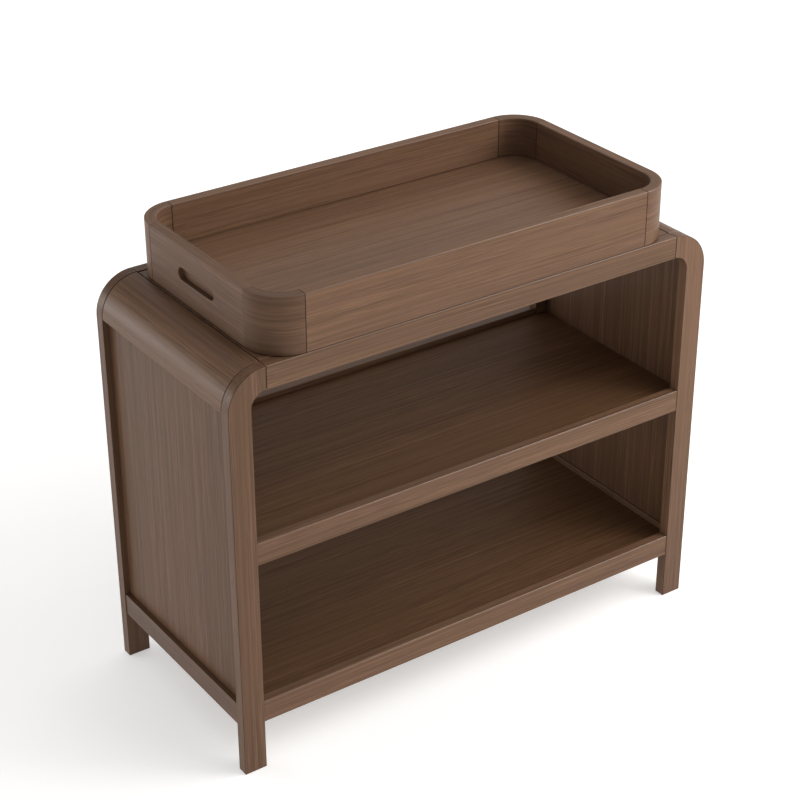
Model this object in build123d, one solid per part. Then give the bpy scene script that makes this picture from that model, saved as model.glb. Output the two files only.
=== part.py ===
from build123d import *
import os

# Changing table: an open case with two shelves and bent corners, and a tray that lifts off.
# Millimetres. X runs to the right, Y to the back and Z up, from the floor under the middle.

# Case
case_width = 1119.0
case_depth = 500.0
case_height = 874.0
corner_radius = 80.0  # outside of the bent leg tops and of the corner panels

# Legs and rails
leg_width = 48.0  # across the front
leg_thick = 24.0  # front to back
top_rail_height = 47.0
rail_height = 47.5
rail_thick = 20.0  # front and rear rails of the shelves
rail_setback = 1.0  # their faces behind the leg faces
side_rail_thick = 25.0
side_rail_setback = 1.6
bottom_rail_z = 107.8  # underside of the bottom rails
shelf_rail_z = 467.0  # underside of the middle shelf's rails
edge_chamfer = 0.7  # eased edges of the frame and of the tray's underside

# Panels and shelves
panel_recess = 13.0  # side panels behind the outer faces of the legs
panel_thick = 8.0
panel_in_leg = 6.0  # depth of the panel grooves in the legs and the corner panels
panel_in_rail = 5.0  # depth of the panel groove in a side rail
corner_panel_thick = 26.0
shelf_thick = 15.0
shelf_drop = 13.0  # shelf surface below the top of its rails
shelf_in_rail = 6.0  # depth of the shelf grooves
shelf_end_gap = 1.0  # shelf to legs and side panels
bearer_thick = 20.0
bearer_height = 32.0
top_panel_thick = 18.0
tongue_thick = 6.0
tongue_length = 8.0
top_panel_rear_gap = 6.0  # open line between the top panel and the rear rail
top_panel_end_gap = 3.0

# Joinery
seam = 1.5  # visible line between flush pieces
groove_end_play = 0.3
groove_play = 0.2  # on each side of a board in its groove
tongue_end_play = 1.0
tenon_thick = 8.0  # loose tenons between the legs and what meets them
tenon_width = 18.0
tenon_length = 36.0
tenon_end_play = 1.0
tenon_in_leg = 12.0  # share of a tenon that goes into the thickness of a leg
tenon_line = 11.0  # tenon axis from the hidden face of a shelf or side rail
tenon_below_top = 18.0  # tenon axis below the top of its rail
top_tenon_rise = 16.0  # tenon axis above the underside of a top rail
corner_tenon_angle = 45.0  # half way round the bend
spline_thick = 6.0  # loose splines across the seams of the tray
spline_length = 24.0
spline_height = 60.0
spline_middle = 70.0  # above the underside of the tray walls
cam_diameter = 12.0
cam_depth = 12.0
cam_line = 8.0  # bolt axis from the hidden face of a rail
cam_inset = 24.0  # cam centre from the end of its rail
cam_play = 0.2
cam_slot_width = 1.5  # for a screwdriver
cam_slot_depth = 2.0
cam_jaw_width = 5.6  # opening in the side of a cam that takes the bolt
bolt_diameter = 5.0
bolt_in_leg = 11.0
bolt_play = 0.1

# Tray
tray_end_gap = 5.5  # tray ends inside the seams of the corner panels
tray_height = 116.0
tray_wall = 23.0
tray_radius = 80.0  # outside of the rounded corners
tray_rim_chamfer = 1.2
tray_front_seam = 0.2  # front corners to the end walls, hardly seen
tray_floor_thick = 12.0
tray_floor_top = 30.5  # above the underside of the walls
tray_floor_in_wall = 8.0
tray_floor_play = 1.2  # open line above the floor, in its groove
pad_size = 14.0
pad_thick = 1.5
pad_inset = 17.5  # outer pads from the ends of the straight walls
pull_length = 129.0  # finger pulls in the end walls
pull_height = 26.0
pull_depth = 11.0
pull_centre = 58.5  # above the underside of the walls
pull_chamfer = 0.7

# Places that several pieces share, given for the left half where there are two
left = -case_width / 2
front = -case_depth / 2
rear = case_depth / 2
top = case_height
leg_inner = left + leg_width
front_leg_back = front + leg_thick
rear_leg_front = rear - leg_thick
seam_x = left + corner_radius
spring_z = top - corner_radius  # where the bent corners begin
top_rail_z = top - top_rail_height
inner_radius = corner_radius - leg_width
side_rail_outer = left + side_rail_setback
side_rail_inner = side_rail_outer + side_rail_thick
front_rail_face = front + rail_setback
front_rail_back = front_rail_face + rail_thick
bottom_rail_top = bottom_rail_z + rail_height
bottom_shelf_top = bottom_rail_top - shelf_drop
middle_shelf_top = shelf_rail_z + rail_height - shelf_drop
middle_shelf_under = middle_shelf_top - shelf_thick
panel_outer = left + panel_recess
panel_inner = panel_outer + panel_thick
bearer_outer = panel_inner + shelf_end_gap
tongue_middle = top - top_panel_thick / 2
tongue_z = (tongue_middle - tongue_thick / 2, tongue_middle + tongue_thick / 2)
tongue_groove_z = (tongue_z[0] - groove_play, tongue_z[1] + groove_play)
tongue_groove_depth = tongue_length + tongue_end_play
tray_base = top + pad_thick
tray_top = tray_base + tray_height
tray_end = abs(seam_x) - tray_end_gap  # half the tray's length
tray_side = rear  # half its depth, flush with the case
straight_x = tray_end - tray_radius  # ends of the straight walls
straight_y = tray_side - tray_radius
tray_floor_z = tray_base + tray_floor_top - tray_floor_thick


# Basic shapes

def block(x, y, z):
    """Box between low and high values on each axis."""
    centre = [(low + high) / 2 for low, high in (x, y, z)]
    size = [high - low for low, high in (x, y, z)]
    return Pos(*centre) * Box(*size)


def rod(diameter, start, end):
    """Round bar from one point to another."""
    axis = Vector(*end) - Vector(*start)
    plane = Plane(origin=start, z_dir=axis.normalized())
    return extrude(plane * Circle(diameter / 2), amount=axis.length)


def front_view(y_back):
    """Plane for outlines seen from the front, extruded forwards from y_back."""
    return Plane(origin=(0, y_back, 0), x_dir=(1, 0, 0), z_dir=(0, -1, 0))


def to_right(part):
    return mirror(part, about=Plane.YZ)


def to_rear(part):
    return mirror(part, about=Plane.XZ)


def cut(part, tools):
    """Cut away the tools that reach the part."""
    box = part.bounding_box()
    near = [tool for tool in tools if box.overlaps(tool.bounding_box(), 0.0)]
    return part - near if near else part


def loose_tenon(centre, size, turn=0):
    """Flat tenon or spline, turned about Y."""
    return Pos(*centre) * Rot(0, turn, 0) * Box(*size)


def mortise(centre, size, along, turn=0):
    """Room for a loose tenon: a little play on its sides, and more at its two ends."""
    room = [length + 2 * groove_play for length in size]
    room[along] = size[along] + 2 * tenon_end_play
    return loose_tenon(centre, room, turn)


# Joinery of the case: each joint adds its hardware and the holes for it

frame_tenons = []
cam_bolts = []
cam_locks = []
frame_holes = []


def add_tenon(centre, size, along, turn=0):
    frame_tenons.append(loose_tenon(centre, size, turn))
    frame_holes.append(mortise(centre, size, along, turn))


def add_cam(joint, inward, outward):
    """Bolt from a leg into a rail or bearer, and the cam lock that draws it in.

    joint is where the bolt leaves the leg, inward the way along the rail, and
    outward the way to the face that the cam is set in.
    """
    joint, inward, outward = [Vector(*v) for v in (joint, inward, outward)]
    middle = joint + inward * cam_inset
    face = middle + outward * cam_line
    floor = face - outward * cam_depth
    bolt_end = joint - inward * bolt_in_leg
    below_bolt = cam_depth - cam_line
    jaw_height = below_bolt + cam_jaw_width / 2
    jaw_plane = Plane(origin=middle + outward * (jaw_height / 2 - below_bolt),
                      x_dir=outward, z_dir=-inward)
    jaw = extrude(jaw_plane * Rectangle(jaw_height, cam_jaw_width), amount=cam_diameter / 2)
    slot = extrude(Plane(origin=face, z_dir=outward) * Rectangle(cam_diameter, cam_slot_width),
                   amount=-cam_slot_depth)
    cam_bolts.append(rod(bolt_diameter, bolt_end, middle - inward * groove_end_play))
    cam_locks.append(rod(cam_diameter, face, floor) - jaw - slot)
    frame_holes.append(rod(cam_diameter + 2 * cam_play, face, floor - outward * groove_end_play))
    frame_holes.append(rod(bolt_diameter + 2 * bolt_play, bolt_end - inward * groove_end_play, middle))


def join_long_rail(sign, rail_z):
    """Loose tenons at both ends of a front or rear shelf rail."""
    y = sign * (abs(front_rail_back) + tenon_line)
    for side in (-1, 1):
        add_tenon((side * abs(leg_inner), y, rail_z + rail_height - tenon_below_top),
                  (tenon_length, tenon_thick, tenon_width), 0)


def join_top_rail(sign):
    """Loose tenons between the bent legs and a top rail."""
    for side in (-1, 1):
        add_tenon((side * abs(seam_x), sign * (rear - leg_thick / 2), top_rail_z + top_tenon_rise),
                  (tenon_length, tenon_thick, tenon_width), 0)


def join_side(side, sign):
    """Side rail, shelf bearer and corner panel to one leg.

    The cams in the rail and the bearer draw the front and rear frames together.
    """
    size = (tenon_thick, tenon_length, tenon_width)
    y_leg = sign * rear_leg_front
    y_tenon = sign * (rear_leg_front + tenon_in_leg - tenon_length / 2)
    rail_x = abs(side_rail_inner)
    below_groove = (bottom_rail_z + bottom_shelf_top - shelf_thick) / 2
    add_cam((side * (rail_x + cam_line), y_leg, below_groove), (0, -sign, 0), (-side, 0, 0))
    add_tenon((side * (rail_x + tenon_line), y_tenon, bottom_rail_top - tenon_below_top), size, 1)
    bearer_x = abs(bearer_outer) - bearer_thick
    add_cam((side * (bearer_x + cam_line), y_leg, middle_shelf_under - bearer_height / 2),
            (0, -sign, 0), (-side, 0, 0))
    reach = Vector(corner_radius - corner_panel_thick / 2, 0, 0).rotate(Axis.Z, corner_tenon_angle)
    add_tenon((side * (abs(seam_x) + reach.X), y_tenon, spring_z + reach.Y), size, 1,
              -side * corner_tenon_angle)


def join_case():
    for sign in (-1, 1):
        join_long_rail(sign, bottom_rail_z)
        join_long_rail(sign, shelf_rail_z)
        join_top_rail(sign)
        for side in (-1, 1):
            join_side(side, sign)


# Legs

def leg_outline():
    """Front view of a left leg: a straight shank and a quarter bend inwards."""
    inner_spring = top_rail_z - inner_radius
    return make_face(Curve() + [
        Line((left, 0), (left, spring_z)),
        CenterArc((seam_x, spring_z), corner_radius, 180, -90),
        Line((seam_x, top), (seam_x, top_rail_z)),
        CenterArc((seam_x, inner_spring), inner_radius, 90, 90),
        Line((leg_inner, inner_spring), (leg_inner, 0)),
        Line((leg_inner, 0), (left, 0)),
    ])


def ease_leg(leg):
    """Chamfer the long edges and the foot; the end at the rail stays square."""
    across = leg.edges().filter_by(Axis.Y)
    at_rail = [e for e in leg.edges() if abs(e.center().X - seam_x) < seam]
    foot = across.group_by(Axis.Z)[0]
    rest = [e for e in leg.edges() if e not in across and e not in at_rail]
    return chamfer(rest + foot, edge_chamfer)


def side_groove():
    """Groove for the left side panel in the legs, the side rail and the corner panel."""
    return block((panel_outer - groove_play, panel_inner + groove_play),
                 (front_leg_back - panel_in_leg, rear_leg_front + panel_in_leg),
                 (bottom_rail_top - panel_in_rail, spring_z + panel_in_leg))


def left_leg(y_back):
    leg = ease_leg(extrude(front_view(y_back) * leg_outline(), amount=leg_thick))
    return cut(leg, frame_holes + [side_groove()])


# Rails

def rail_blank(x, y, z, axis):
    """Rail with eased long edges."""
    blank = block(x, y, z)
    return chamfer(blank.edges().filter_by(axis), edge_chamfer)


def shelf_groove_z(shelf_top):
    return (shelf_top - shelf_thick - groove_play, shelf_top + groove_play)


def front_top_rail():
    rail = rail_blank((seam_x + seam, -seam_x - seam), (front, front_leg_back),
                      (top_rail_z, top), Axis.X)
    groove = block((seam_x, -seam_x), (front_leg_back - tongue_groove_depth, front_leg_back),
                   tongue_groove_z)
    return cut(rail, frame_holes + [groove])


def front_rail(rail_z):
    """Front rail of a shelf, with the groove that holds the shelf's edge."""
    rail = rail_blank((leg_inner, -leg_inner), (front_rail_face, front_rail_back),
                      (rail_z, rail_z + rail_height), Axis.X)
    groove = block((leg_inner, -leg_inner), (front_rail_back - shelf_in_rail, front_rail_back),
                   shelf_groove_z(rail_z + rail_height - shelf_drop))
    return cut(rail, frame_holes + [groove])


def left_side_rail():
    rail = rail_blank((side_rail_outer, side_rail_inner), (front_leg_back, rear_leg_front),
                      (bottom_rail_z, bottom_rail_top), Axis.Y)
    groove = block((side_rail_inner - shelf_in_rail, side_rail_inner),
                   (front_leg_back, rear_leg_front), shelf_groove_z(bottom_shelf_top))
    return cut(rail, frame_holes + [groove, side_groove()])


def left_shelf_bearer():
    """Batten between the left legs that carries the end of the middle shelf."""
    bearer = block((bearer_outer, bearer_outer + bearer_thick), (front_leg_back, rear_leg_front),
                   (middle_shelf_under - bearer_height, middle_shelf_under))
    return cut(bearer, frame_holes)


# Panels and shelves

def left_corner_panel():
    """Quarter-round panel that carries the top over into the left side."""
    inside = corner_radius - corner_panel_thick
    centre = (seam_x, spring_z)
    outline = make_face(Curve() + [
        CenterArc(centre, corner_radius, 90, 90),
        Line((left, spring_z), (left + corner_panel_thick, spring_z)),
        CenterArc(centre, inside, 180, -90),
        Line((seam_x, top - corner_panel_thick), (seam_x, top)),
    ])
    length = rear_leg_front - front_leg_back - 2 * seam
    panel = extrude(front_view(rear_leg_front - seam) * outline, amount=length)
    rims = [e for e in panel.edges().filter_by(GeomType.CIRCLE) if e.radius > inside + seam]
    panel = chamfer(rims, edge_chamfer)
    tongue_groove = block((seam_x - tongue_groove_depth, seam_x), (front_leg_back, rear_leg_front),
                          tongue_groove_z)
    return cut(panel, frame_holes + [tongue_groove, side_groove()])


def left_side_panel():
    reach = panel_in_leg - groove_end_play
    return block((panel_outer, panel_inner), (front_leg_back - reach, rear_leg_front + reach),
                 (bottom_rail_top - panel_in_rail + groove_end_play, spring_z + reach))


def top_panel():
    """Flush top, held by a tongue all round."""
    end = seam_x + top_panel_end_gap
    y = (front_leg_back + seam, rear_leg_front - top_panel_rear_gap)
    body = block((end, -end), y, (top - top_panel_thick, top))
    end_tongues = block((end - tongue_length, -end + tongue_length), y, tongue_z)
    side_tongues = block((end, -end), (y[0] - tongue_length, rear_leg_front + tongue_length), tongue_z)
    return body + end_tongues + side_tongues


def shelf(end, shelf_top):
    """Board grooved into its front and rear rails, notched round the four legs."""
    edge = front_rail_back - shelf_in_rail + groove_end_play
    z = (shelf_top - shelf_thick, shelf_top)
    notch_x = abs(leg_inner) - shelf_end_gap
    notch_y = rear_leg_front - shelf_end_gap
    notches = [block(x, y, z) for x in ((left, -notch_x), (notch_x, -left))
               for y in ((front, -notch_y), (notch_y, rear))]
    return block((end, -end), (edge, -edge), z) - notches


def bottom_shelf():
    """Its ends lie in the side rails' grooves too."""
    return shelf(side_rail_inner - shelf_in_rail + groove_end_play, bottom_shelf_top)


def middle_shelf():
    """Its ends lie on the bearers, just clear of the side panels."""
    return shelf(bearer_outer, middle_shelf_top)


# Tray

def tray_outline(inset):
    """Rounded rectangle inside the tray's outer faces by the inset."""
    return RectangleRounded(2 * (tray_end - inset), 2 * (tray_side - inset), tray_radius - inset)


def tray_ring():
    """The whole wall in one piece, with eased edges and the groove for the floor."""
    ring = extrude(Pos(0, 0, tray_base) * (tray_outline(0) - tray_outline(tray_wall)),
                   amount=tray_height)
    ring = chamfer(ring.edges().group_by(Axis.Z)[-1], tray_rim_chamfer)
    ring = chamfer(ring.edges().group_by(Axis.Z)[0], edge_chamfer)
    groove = extrude(Pos(0, 0, tray_floor_z - groove_play) * tray_outline(tray_wall - tray_floor_in_wall),
                     amount=tray_floor_thick + groove_play + tray_floor_play)
    return ring - groove


def spline_places():
    """Centre, size and long axis of the splines across the seams of the walls and corners."""
    z = tray_base + spline_middle
    wall_x = tray_end - tray_wall / 2
    wall_y = tray_side - tray_wall / 2
    places = []
    for sx in (-1, 1):
        for sy in (-1, 1):
            places.append(((sx * straight_x, sy * wall_y, z),
                           (spline_length, spline_thick, spline_height), 0))
            places.append(((sx * wall_x, sy * straight_y, z),
                           (spline_thick, spline_length, spline_height), 1))
    return places


def cut_finger_pull(wall, side):
    """Blind slot with rounded ends in the outside of an end wall."""
    mouth = Plane(origin=(side * tray_end, 0, tray_base + pull_centre),
                  x_dir=(0, 1, 0), z_dir=(side, 0, 0))
    wall -= extrude(mouth * SlotOverall(pull_length, pull_height), amount=-pull_depth)
    outer_face = wall.faces().filter_by(Axis.X).sort_by(Axis.X)[0 if side < 0 else -1]
    return chamfer(outer_face.inner_wires()[0].edges(), pull_chamfer)


def tray_walls():
    """Four straight walls and four corners, cut from the ring at the seams."""
    ring = tray_ring()
    holes = [mortise(*place) for place in spline_places()]
    z = (tray_base, tray_top)
    wall_x = (-straight_x + seam / 2, straight_x - seam / 2)
    wall_y = (-straight_y + tray_front_seam / 2, straight_y - seam / 2)
    pieces = {}
    for row, sy in (("front", -1), ("rear", 1)):
        pieces[f"tray_{row}_wall"] = ring & block(wall_x, sorted((0, sy * tray_side)), z)
    for end, sx in (("left", -1), ("right", 1)):
        wall = ring & block(sorted((0, sx * tray_end)), wall_y, z)
        pieces[f"tray_{end}_wall"] = cut_finger_pull(wall, sx)
        for row, sy in (("front", -1), ("rear", 1)):
            x = sorted((sx * (straight_x + seam / 2), sx * tray_end))
            end_seam = tray_front_seam if row == "front" else seam
            y = sorted((sy * (straight_y + end_seam / 2), sy * tray_side))
            pieces[f"tray_{row}_{end}_corner"] = ring & block(x, y, z)
    return {name: cut(piece, holes) for name, piece in pieces.items()}


def tray_floor():
    outline = tray_outline(tray_wall - tray_floor_in_wall + groove_end_play)
    return extrude(Pos(0, 0, tray_floor_z) * outline, amount=tray_floor_thick)


def tray_pads():
    """Soft pads under the walls, which leave a thin shadow line below the tray."""
    wall_x = tray_end - tray_wall / 2
    wall_y = tray_side - tray_wall / 2
    outer_x = straight_x - pad_inset
    places = [(x, y) for x in (-outer_x, 0, outer_x) for y in (-wall_y, wall_y)]
    places += [(-wall_x, 0), (wall_x, 0)]
    return [Pos(x, y, top + pad_thick / 2) * Box(pad_size, pad_size, pad_thick) for x, y in places]


# Assembly

def case_nodes():
    join_case()
    front_leg = left_leg(front_leg_back)
    rear_leg = left_leg(rear)
    top_rail = front_top_rail()
    shelf_rail = front_rail(shelf_rail_z)
    bottom_rail = front_rail(bottom_rail_z)
    nodes = {
        "front_left_leg": front_leg,
        "front_right_leg": to_right(front_leg),
        "rear_left_leg": rear_leg,
        "rear_right_leg": to_right(rear_leg),
        "front_top_rail": top_rail,
        "rear_top_rail": to_rear(top_rail),
        "front_shelf_rail": shelf_rail,
        "rear_shelf_rail": to_rear(shelf_rail),
        "front_bottom_rail": bottom_rail,
        "rear_bottom_rail": to_rear(bottom_rail),
        "top_panel": top_panel(),
        "middle_shelf": middle_shelf(),
        "bottom_shelf": bottom_shelf(),
    }
    pairs = {
        "bottom_rail": left_side_rail(),
        "shelf_bearer": left_shelf_bearer(),
        "corner_panel": left_corner_panel(),
        "side_panel": left_side_panel(),
    }
    for name, part in pairs.items():
        nodes[f"left_{name}"] = part
        nodes[f"right_{name}"] = to_right(part)
    nodes["frame_tenons"] = Compound(children=frame_tenons)
    nodes["cam_bolts"] = Compound(children=cam_bolts)
    nodes["cam_locks"] = Compound(children=cam_locks)
    return nodes


def tray_nodes():
    nodes = tray_walls()
    nodes["tray_floor"] = tray_floor()
    nodes["tray_splines"] = Compound(children=[loose_tenon(centre, size)
                                               for centre, size, along in spline_places()])
    nodes["tray_pads"] = Compound(children=tray_pads())
    return nodes


os.makedirs("parts", exist_ok=True)
for node, shape in {**case_nodes(), **tray_nodes()}.items():
    export_step(shape, f"parts/{node}.step")
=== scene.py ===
import math
import bmesh
import bpy
from mathutils import Matrix, Vector


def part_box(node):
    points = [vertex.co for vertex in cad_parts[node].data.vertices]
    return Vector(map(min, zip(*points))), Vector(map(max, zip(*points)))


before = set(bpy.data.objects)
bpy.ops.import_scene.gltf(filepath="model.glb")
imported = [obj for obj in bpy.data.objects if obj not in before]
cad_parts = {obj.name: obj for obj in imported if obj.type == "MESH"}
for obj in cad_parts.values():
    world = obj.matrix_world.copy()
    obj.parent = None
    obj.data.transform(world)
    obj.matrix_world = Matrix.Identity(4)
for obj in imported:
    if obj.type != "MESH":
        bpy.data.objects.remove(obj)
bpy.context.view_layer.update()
print("frame loaded,", len(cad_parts), "pieces of the table")


# a node's output, for sums and as the input of other nodes
class Wire:
    def __init__(self, tree, socket=None):
        self.tree = tree
        self.socket = socket

    def add(self, kind, settings=None, sockets=None, out=0):
        node = self.tree.nodes.new("ShaderNode" + kind)
        for key, value in (settings or {}).items():
            if key == "stops":
                ramp = node.color_ramp.elements
                while len(ramp) < len(value):
                    ramp.new(1.0)
                for stop, (position, colour) in zip(ramp, value):
                    stop.position = position
                    stop.color = (*colour, 1.0)
            else:
                setattr(node, key, value)
        for key, value in (sockets or {}).items():
            if isinstance(value, Wire):
                self.tree.links.new(value.socket, node.inputs[key])
            else:
                node.inputs[key].default_value = value
        return Wire(self.tree, node.outputs[out])

    def math(self, operation, first, second=0.0):
        return self.add("Math", {"operation": operation}, {0: first, 1: second})

    def __add__(self, other): return self.math("ADD", self, other)
    def __radd__(self, other): return self.math("ADD", other, self)
    def __sub__(self, other): return self.math("SUBTRACT", self, other)
    def __rsub__(self, other): return self.math("SUBTRACT", other, self)
    def __mul__(self, other): return self.math("MULTIPLY", self, other)
    def __rmul__(self, other): return self.math("MULTIPLY", other, self)

    def parts(self):
        return [self.add("SeparateXYZ", None, {0: self}, axis) for axis in "XYZ"]

    def vector(self, operation, other, out=0):
        return self.add("VectorMath", {"operation": operation}, {0: self, 1: other}, out)

    # 0 at low, 1 at high, eased between them
    def step(self, low, high):
        return self.add("MapRange", {"interpolation_type": "SMOOTHSTEP"}, {0: self, 1: low, 2: high})

    # first where this is 0, second where it is 1; either may be a plain colour
    def mix(self, first, second):
        first, second = (colour if isinstance(colour, Wire) else (*colour, 1.0) for colour in (first, second))
        return self.add("Mix", {"data_type": "RGBA"}, {0: self, 6: first, 7: second}, 2)

    def tint(self, other):
        return self.add("Mix", {"data_type": "RGBA", "blend_type": "MULTIPLY"}, {0: 1.0, 6: self, 7: other}, 2)

    def noise(self, scale, detail, out=0):
        return self.add("TexNoise", None, {"Vector": self, "Scale": scale, "Detail": detail}, out)

    # noise drawn out along the grain; the numbers are how often it changes in a metre
    def grain(self, along, across, detail=1.0, out=0):
        return self.vector("MULTIPLY", (along, across, across)).noise(1.0, detail, out)

    def feed(self, shader, name):
        self.tree.links.new(self.socket, shader.inputs[name])


def newMaterial(name):
    material = bpy.data.materials.new(name)
    material.use_nodes = True
    tree = material.node_tree
    return material, Wire(tree), tree.nodes["Principled BSDF"]


def setSockets(shader, values):
    for name, value in values.items():
        shader.inputs[name].default_value = value


def dressNode(node, material):
    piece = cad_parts[node]
    for slot in piece.material_slots:
        slot.link = "OBJECT"
        slot.material = material


# brown stain under a satin lacquer, on straight and fine-grained wood
brownStain = {
    "dark": (0.090, 0.0475, 0.0274),
    "middle": (0.133, 0.0714, 0.0422),
    "light": (0.178, 0.0970, 0.0585),
    "stops": (0.2, 0.5, 0.8),  # where these three stand in the depth of the stain
    "pore": (0.060, 0.0308, 0.0172),
    # edge colour: lighter, partly wear and partly painted highlight along the eased edges
    "edge": (0.178, 0.0970, 0.0585),
    "olive": (0.995, 1.015, 0.955), "rose": (1.0, 0.995, 1.01),
    # how often each changes in a metre, along the grain and across it
    "wander": (0.9, 3.0), "cloud": (0.9, 7.0), "lively": (2.2, 26.0), "hue": (1.6, 36.0),
    "band": (1.0, 150.0), "streak": (2.8, 520.0), "fibre": (12.0, 900.0), "pores": (26.0, 1400.0),
    "wanderBy": 0.008,
    "cloudAmount": 0.4, "bandAmount": 0.6, "streakAmount": 0.8, "fibreAmount": 0.8, "poreAmount": 0.35,
    "patchSpan": (0.3, 0.7), "plainest": 0.35, "livelier": 1.3,
    "poreSpan": (0.60, 0.70), "poreBase": 0.35,
    "roughness": 0.35, "streakRough": 0.22, "poreRough": 0.12, "cloudRough": 0.1, "specular": 0.15,
    "bump": 0.3, "relief": 0.00010, "fibreHeight": 0.4, "streakHeight": 0.3, "poreDepth": 0.8,
    "edgeRound": 0.0012, "edgeFrom": (0.06, 0.35), "edgeTo": (0.88, 0.995), "edgeUp": (-0.1, 0.1),
    "edgeWearAndShading": 0.25, "edgeBase": 0.4, "edgeGloss": 0.5, "coatRough": 0.3,
}


# place of a point in a board: along the grain first, then across it twice
def grainPlace(wire, grain, bend, shift):
    x, y, z = wire.add("TexCoord", out="Object").parts()
    if bend:
        fromX, fromY = x - bend["centre"][0], y - bend["centre"][1]
        turn = wire.math("ARCTAN2", fromY, fromX)
        out = wire.math("SQRT", fromX * fromX + fromY * fromY)
        order = (turn * bend["radius"], z, out)
    else:
        order = {"x": (x, y, z), "y": (y, x, z), "z": (z, x, y)}[grain]
    place = wire.add("CombineXYZ", None, dict(enumerate(order)))
    return place.vector("ADD", shift)


def woodFinish(name, look, grain, edgeAxis, toneAndShading, bend, shift):
    material, wire, shader = newMaterial(name)
    place = grainPlace(wire, grain, bend, shift)
    # boards aren't dead straight: the grain wanders a few millimetres
    wander = place.grain(*look["wander"], out=1)
    place = place.vector("ADD", wander.vector("MULTIPLY", (0.0, look["wanderBy"], look["wanderBy"])))
    cloud = place.grain(*look["cloud"])
    band = place.grain(*look["band"])
    streak = place.grain(*look["streak"], detail=2.0)
    fibre = place.grain(*look["fibre"])
    pores = place.grain(*look["pores"]).step(*look["poreSpan"]) * (look["poreBase"] + band)
    # the figure is lively in some places and plain in others, and its hue changes too
    lively = look["plainest"] + place.grain(*look["lively"]).step(*look["patchSpan"]) * look["livelier"]
    hue = place.grain(*look["hue"]).step(*look["patchSpan"]).mix(look["olive"], look["rose"])
    figure = (streak - 0.5) * look["streakAmount"] + (fibre - 0.5) * look["fibreAmount"]
    # the piece's shift of the stain's depth holds its board tone and, on some pieces, painted shade and painted
    # light
    depth = 0.5 + toneAndShading + (cloud - 0.5) * look["cloudAmount"] + (band - 0.5) * look["bandAmount"] + figure * lively
    stops = list(zip(look["stops"], (look["dark"], look["middle"], look["light"])))
    colour = wire.add("ValToRGB", {"stops": stops}, {0: depth}).tint(hue)
    colour = (pores * look["poreAmount"]).mix(colour, look["pore"])
    # eased edges take the look's edge colour: lighter on most boards, partly wear and partly painted highlight;
    # dark on the legs, painted shade
    rounded = wire.add("Bevel", {"samples": 4}, {"Radius": look["edgeRound"]})
    slant = rounded.parts()
    lean = wire.math("ABSOLUTE", slant["xyz".index(edgeAxis)])
    edge = lean.step(*look["edgeFrom"]) * (1 - lean.step(*look["edgeTo"]))
    colour = (edge * look["edgeWearAndShading"] * (look["edgeBase"] + streak)).mix(colour, look["edge"])
    colour.feed(shader, "Base Color")
    if look["edgeGloss"]:  # only edges that look up shine
        (edge * look["edgeGloss"] * slant[2].step(*look["edgeUp"])).feed(shader, "Coat Weight")
    rough = look["roughness"] + (streak - 0.5) * look["streakRough"]
    rough = rough + pores * look["poreRough"] + (cloud - 0.5) * look["cloudRough"]
    rough.feed(shader, "Roughness")
    height = fibre * look["fibreHeight"] + streak * look["streakHeight"] - pores * look["poreDepth"]
    bump = wire.add("Bump", None, {"Strength": look["bump"], "Distance": look["relief"],
                                   "Height": height, "Normal": rounded})
    bump.feed(shader, "Normal")
    setSockets(shader, {"Specular IOR Level": look["specular"], "Coat Roughness": look["coatRough"]})
    return material


# middle of a rounded corner, which is the one of its box nearest the tray's middle
def bendOf(node, radius):
    low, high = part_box(node)
    centreX = high.x if high.x < 0 else low.x
    centreY = high.y if high.y < 0 else low.y
    return {"centre": (centreX, centreY), "radius": radius}


# each board comes from another place in the log, so that no two show the same figure
def logPlace(seed, i):
    return (seed + 3.1 * i, 1.7 * seed + 0.9 * i, 0.6 * seed + 1.3 * i)


def dressBoards(kind):
    for i, (node, toneAndShading) in enumerate(zip(kind["nodes"], kind["toneAndShading"])):
        bend = bendOf(node, kind["radius"]) if "radius" in kind else None
        finish = woodFinish(node + "_stain", kind["look"], kind["grain"], kind["edgeAxis"], toneAndShading, bend,
                            logPlace(kind["seed"], i))
        dressNode(node, finish)
    print("finished", kind["name"])


# the legs' edges carry painted shade: a dark edge colour along the arrises
legs = {
    "name": "legs", "grain": "z", "edgeAxis": "y", "seed": 1.0,
    "look": dict(brownStain, edge=(0.045, 0.0235, 0.0125), edgeWearAndShading=0.7, edgeGloss=0.0),
    "nodes": ["front_left_leg", "front_right_leg", "rear_left_leg", "rear_right_leg"],
    # the rear left leg's lower tone is painted shade
    "toneAndShading": [-0.10, 0.02, -0.14, 0.0],
}
dressBoards(legs)

rails = {
    "name": "rails", "grain": "x", "edgeAxis": "z", "seed": 11.0,
    "look": dict(brownStain, bandAmount=0.8, streakAmount=1.0, edgeRound=0.0018, edgeGloss=0.8),
    "nodes": ["front_top_rail", "rear_top_rail", "front_shelf_rail", "rear_shelf_rail",
              "front_bottom_rail", "rear_bottom_rail"],
    "toneAndShading": [0.0] * 6,
}
dressBoards(rails)

sideRails = {
    "name": "side rails and bearers", "grain": "y", "edgeAxis": "z", "seed": 23.0,
    "look": brownStain,
    "nodes": ["left_bottom_rail", "right_bottom_rail", "left_shelf_bearer", "right_shelf_bearer"],
    "toneAndShading": [-0.16, -0.05, 0.0, 0.0],
}
dressBoards(sideRails)

cornerPanels = {
    "name": "corner panels", "grain": "y", "edgeAxis": "y", "seed": 31.0,
    "look": brownStain,
    "nodes": ["left_corner_panel", "right_corner_panel"],
    "toneAndShading": [0.0, 0.0],
}
dressBoards(cornerPanels)

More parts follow.
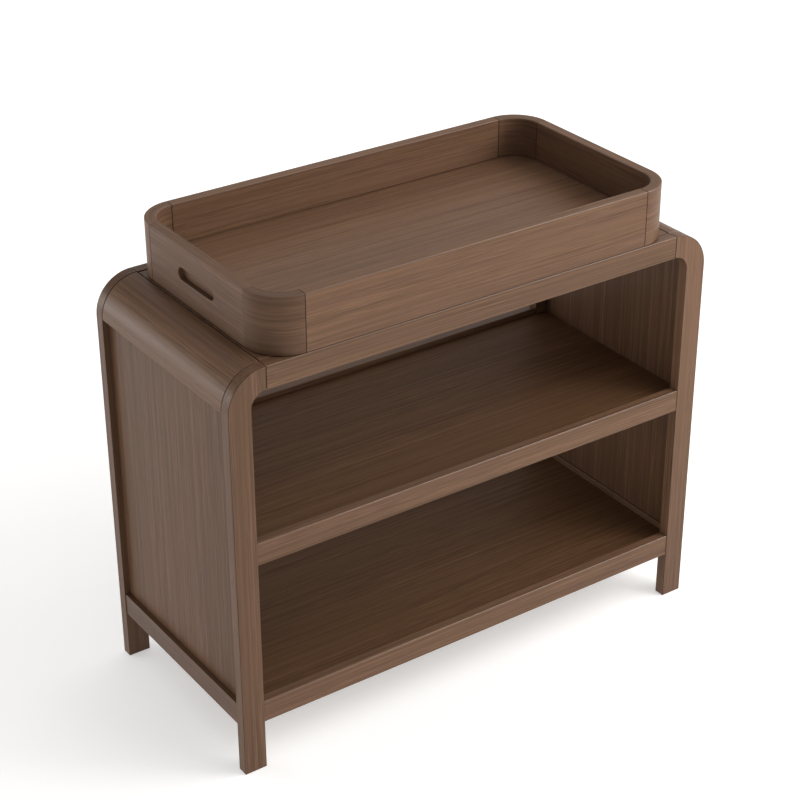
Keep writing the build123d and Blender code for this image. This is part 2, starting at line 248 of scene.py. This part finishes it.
sidePanels = {
    "name": "side panels", "grain": "z", "edgeAxis": "z", "seed": 37.0,
    "look": dict(brownStain, bandAmount=0.75, streakAmount=1.0, specular=0.10),
    "nodes": ["left_side_panel", "right_side_panel"],
    # both side panels are darker as painted shade, the right one most
    "toneAndShading": [-0.12, -0.24],
}
dressBoards(sidePanels)

topBoards = {
    "name": "top and tray floor", "grain": "x", "edgeAxis": "z", "seed": 43.0,
    "look": dict(brownStain, bandAmount=0.85, streakAmount=1.1),
    "nodes": ["top_panel", "tray_floor"],
    "toneAndShading": [0.0, 0.07],
}
dressBoards(topBoards)

# the shelves' darker, warmer colours are painted shade of the bays; they also have less sheen
shelves = {
    "name": "shelves", "grain": "x", "edgeAxis": "z", "seed": 47.0,
    "look": dict(brownStain, dark=(0.078, 0.0390, 0.0195), middle=(0.117, 0.0600, 0.0310),
                 light=(0.158, 0.0825, 0.0440), roughness=0.48, specular=0.06),
    "nodes": ["middle_shelf", "bottom_shelf"],
    "toneAndShading": [-0.08, -0.10],
}
dressBoards(shelves)

# the tray's lacquer is duller than the case's
dullStain = dict(brownStain, roughness=0.46)
trayLongWalls = {
    "name": "tray's long walls", "grain": "x", "edgeAxis": "z", "seed": 53.0,
    "look": dullStain,
    "nodes": ["tray_front_wall", "tray_rear_wall"],
    # the rear wall is lighter as painted bounce light
    "toneAndShading": [0.01, 0.16],
}
dressBoards(trayLongWalls)

trayEndWalls = {
    "name": "tray's end walls", "grain": "y", "edgeAxis": "z", "seed": 61.0,
    "look": dullStain,
    "nodes": ["tray_left_wall", "tray_right_wall"],
    # the left wall is darker as painted shade, the right wall lighter as painted bounce light
    "toneAndShading": [-0.09, 0.10],
}
dressBoards(trayEndWalls)

# the grain of the tray's corners runs round the bend
trayCorners = {
    "name": "tray's corners", "grain": "bend", "edgeAxis": "z", "seed": 71.0, "radius": 0.08,
    "look": dullStain,
    "nodes": ["tray_front_left_corner", "tray_front_right_corner",
              "tray_rear_left_corner", "tray_rear_right_corner"],
    # the front left corner is darker as painted shade
    "toneAndShading": [-0.19, 0.0, 0.0, 0.0],
}
dressBoards(trayCorners)

# tenons and splines inside the joints are plain pale hardwood
tenons = {
    "name": "tenons and splines", "grain": "x", "edgeAxis": "z", "seed": 83.0,
    "look": dict(brownStain, dark=(0.38, 0.23, 0.12), middle=(0.50, 0.33, 0.18), light=(0.60, 0.42, 0.25),
                 pore=(0.30, 0.18, 0.09), roughness=0.62),
    "nodes": ["frame_tenons", "tray_splines"],
    "toneAndShading": [0.0, 0.0],
}
dressBoards(tenons)

zinc = {
    "nodes": ["cam_bolts", "cam_locks"],
    "bright": (0.62, 0.62, 0.64), "dull": (0.40, 0.40, 0.43), "spots": 900.0, "turned": (400.0, 9000.0),
    "roughness": 0.36, "roughSpread": 0.3, "bump": 0.2, "relief": 0.00004,
}


def zincFinish(name, look):
    material, wire, shader = newMaterial(name)
    place = wire.add("TexCoord", out="Object")
    spots = place.noise(look["spots"], 3.0)
    turned = place.grain(*look["turned"])
    spots.mix(look["bright"], look["dull"]).feed(shader, "Base Color")
    (look["roughness"] + (turned - 0.5) * look["roughSpread"]).feed(shader, "Roughness")
    bump = wire.add("Bump", None, {"Strength": look["bump"], "Distance": look["relief"], "Height": turned})
    bump.feed(shader, "Normal")
    setSockets(shader, {"Metallic": 1.0})
    return material


for node in zinc["nodes"]:
    dressNode(node, zincFinish(node + "_zinc", zinc))
print("finished cam fittings")

softPad = {
    "node": "tray_pads", "dark": (0.012, 0.010, 0.009), "pale": (0.030, 0.027, 0.025), "cells": 1600.0,
    "roughness": 0.85, "roughSpread": 0.2, "bump": 0.5, "relief": 0.0002,
}


def padFinish(name, look):
    material, wire, shader = newMaterial(name)
    cells = wire.add("TexCoord", out="Object").noise(look["cells"], 3.0)
    cells.mix(look["dark"], look["pale"]).feed(shader, "Base Color")
    (look["roughness"] + (cells - 0.5) * look["roughSpread"]).feed(shader, "Roughness")
    bump = wire.add("Bump", None, {"Strength": look["bump"], "Distance": look["relief"], "Height": cells})
    bump.feed(shader, "Normal")
    return material


dressNode(softPad["node"], padFinish(softPad["node"] + "_foam", softPad))
print("finished tray pads")

# a plain white floor that sweeps up into a wall far off, lit a little from within so that its shadows stay light
studioFloor = {
    "rings": (1.0, 2.5, 5.0, 7.5), "flat": 10.0, "sweep": 2.0, "sweepSteps": 6, "wall": 4.0, "turnSteps": 72,
    "colour": (0.74, 0.737, 0.734), "darker": (0.72, 0.717, 0.714), "clouds": 0.7, "roughness": 0.75,
    "glow": (0.43, 0.62, 0.14), "glowReach": (0.9, 3.5), "glowEnd": (6.5, 10.0),
}


# the floor's outline from the middle outwards, turned once round
def floorMesh(look):
    flat, sweep, steps = look["flat"], look["sweep"], look["sweepSteps"]
    angles = [math.pi / 2 * step / steps for step in range(steps + 1)]
    profile = [(ring, 0.0) for ring in look["rings"]]
    profile += [(flat + sweep * math.sin(angle), sweep - sweep * math.cos(angle)) for angle in angles]
    profile.append((flat + sweep, look["wall"]))
    shape = bmesh.new()
    points = [shape.verts.new((out, 0.0, up)) for out, up in profile]
    edges = [shape.edges.new(pair) for pair in zip(points, points[1:])]
    bmesh.ops.spin(shape, geom=points + edges, cent=(0, 0, 0), axis=(0, 0, 1), angle=2 * math.pi,
                   steps=look["turnSteps"])
    bmesh.ops.remove_doubles(shape, verts=shape.verts, dist=0.0001)
    inside = 1.1 * look["rings"][0]
    hole = [edge for edge in shape.edges if all(vert.co.length < inside for vert in edge.verts)]
    bmesh.ops.contextual_create(shape, geom=hole)
    bmesh.ops.recalc_face_normals(shape, faces=shape.faces)
    if sum(face.normal.z for face in shape.faces) < 0:
        bmesh.ops.reverse_faces(shape, faces=shape.faces)
    for face in shape.faces:
        face.smooth = True
    mesh = bpy.data.meshes.new("studio_floor")
    shape.to_mesh(mesh)
    shape.free()
    return mesh


def floorFinish(look):
    material, wire, shader = newMaterial("pale_floor")
    place = wire.add("TexCoord", out="Object")
    place.noise(look["clouds"], 2.0).mix(look["colour"], look["darker"]).feed(shader, "Base Color")
    away = place.vector("LENGTH", (0, 0, 0), "Value")
    near, middle, far = ((level, level, level) for level in look["glow"])
    glow = away.step(*look["glowReach"]).mix(near, middle)
    away.step(*look["glowEnd"]).mix(glow, far).feed(shader, "Emission Color")
    setSockets(shader, {"Roughness": look["roughness"], "Emission Strength": 1.0})
    return material


def makeFloor(look):
    floor = bpy.data.objects.new("studio_floor", floorMesh(look))
    bpy.context.scene.collection.objects.link(floor)
    floor.data.materials.append(floorFinish(look))


makeFloor(studioFloor)

# a white room, brighter overhead, behind and on the right
studioSky = {"colour": (1.0, 0.99, 0.98), "all": 0.04, "right": 0.70, "behind": 0.30, "overhead": 0.74}


def makeSky(look):
    world = bpy.data.worlds.new("studio_sky")
    world.use_nodes = True
    bpy.context.scene.world = world
    wire = Wire(world.node_tree)
    x, y, z = wire.add("TexCoord", out="Generated").parts()
    right = wire.math("MAXIMUM", x, 0.0)
    behind = wire.math("MAXIMUM", y, 0.0)
    strength = look["all"] + right * look["right"] + behind * look["behind"] + z * z * look["overhead"]
    sky = world.node_tree.nodes["Background"]
    setSockets(sky, {"Color": (*look["colour"], 1.0)})
    strength.feed(sky, "Strength")


makeSky(studioSky)

# large soft lights: the key at the front right, a weaker one in front, and a low one at the back left
keyLight = {"name": "key_light", "place": (2.4, -1.75, 2.6), "aim": (0.0, 0.0, 0.5), "size": (2.0, 2.0),
            "power": 76.0, "colour": (1.0, 0.985, 0.965)}
frontLight = {"name": "front_light", "place": (1.5, -2.6, 2.2), "aim": (0.0, 0.0, 0.5), "size": (2.0, 2.0),
              "power": 32.0, "colour": (1.0, 0.985, 0.965)}
lowLight = {"name": "low_light", "place": (-3.2, 3.5, 0.95), "aim": (-0.45, 0.0, 0.85), "size": (3.0, 1.3),
            "power": 62.0, "colour": (1.0, 0.965, 0.935)}


def makeLight(look):
    lamp = bpy.data.lights.new(look["name"], "AREA")
    lamp.shape = "RECTANGLE"
    lamp.size, lamp.size_y = look["size"]
    lamp.energy = look["power"]
    lamp.color = look["colour"]
    light = bpy.data.objects.new(look["name"], lamp)
    light.location = look["place"]
    light.rotation_euler = (Vector(look["place"]) - Vector(look["aim"])).to_track_quat("Z", "Y").to_euler()
    light.visible_camera = False
    bpy.context.scene.collection.objects.link(light)


for light in (keyLight, frontLight, lowLight):
    makeLight(light)
bpy.context.scene.view_settings.view_transform = "Standard"
print("studio set up")

# viewpoint worked out from the picture's vanishing lines, in metres and degrees
viewpoint = {
    "place": (-2.04474, -2.91911, 2.50483), "turn": 34.7490, "down": 28.8394, "roll": -0.1384,
    "focalPixels": 1992.59, "framePixels": 800, "sensor": 36.0, "farEnd": 60.0,
}


def makeCamera(look):
    turn, down, roll = (math.radians(look[key]) for key in ("turn", "down", "roll"))
    ahead = Vector((math.sin(turn) * math.cos(down), math.cos(turn) * math.cos(down), -math.sin(down)))
    level = Vector((math.cos(turn), -math.sin(turn), 0.0))
    up = level.cross(ahead)
    right = level * math.cos(roll) + up * math.sin(roll)
    up = up * math.cos(roll) - level * math.sin(roll)
    data = bpy.data.cameras.new("viewpoint")
    data.sensor_fit = "HORIZONTAL"
    data.sensor_width = look["sensor"]
    data.lens = look["focalPixels"] * look["sensor"] / look["framePixels"]
    data.clip_end = look["farEnd"]
    camera = bpy.data.objects.new("viewpoint", data)
    camera.matrix_world = Matrix.Translation(look["place"]) @ Matrix((right, up, -ahead)).transposed().to_4x4()
    bpy.context.scene.collection.objects.link(camera)
    bpy.context.scene.camera = camera


makeCamera(viewpoint)
print("camera placed")
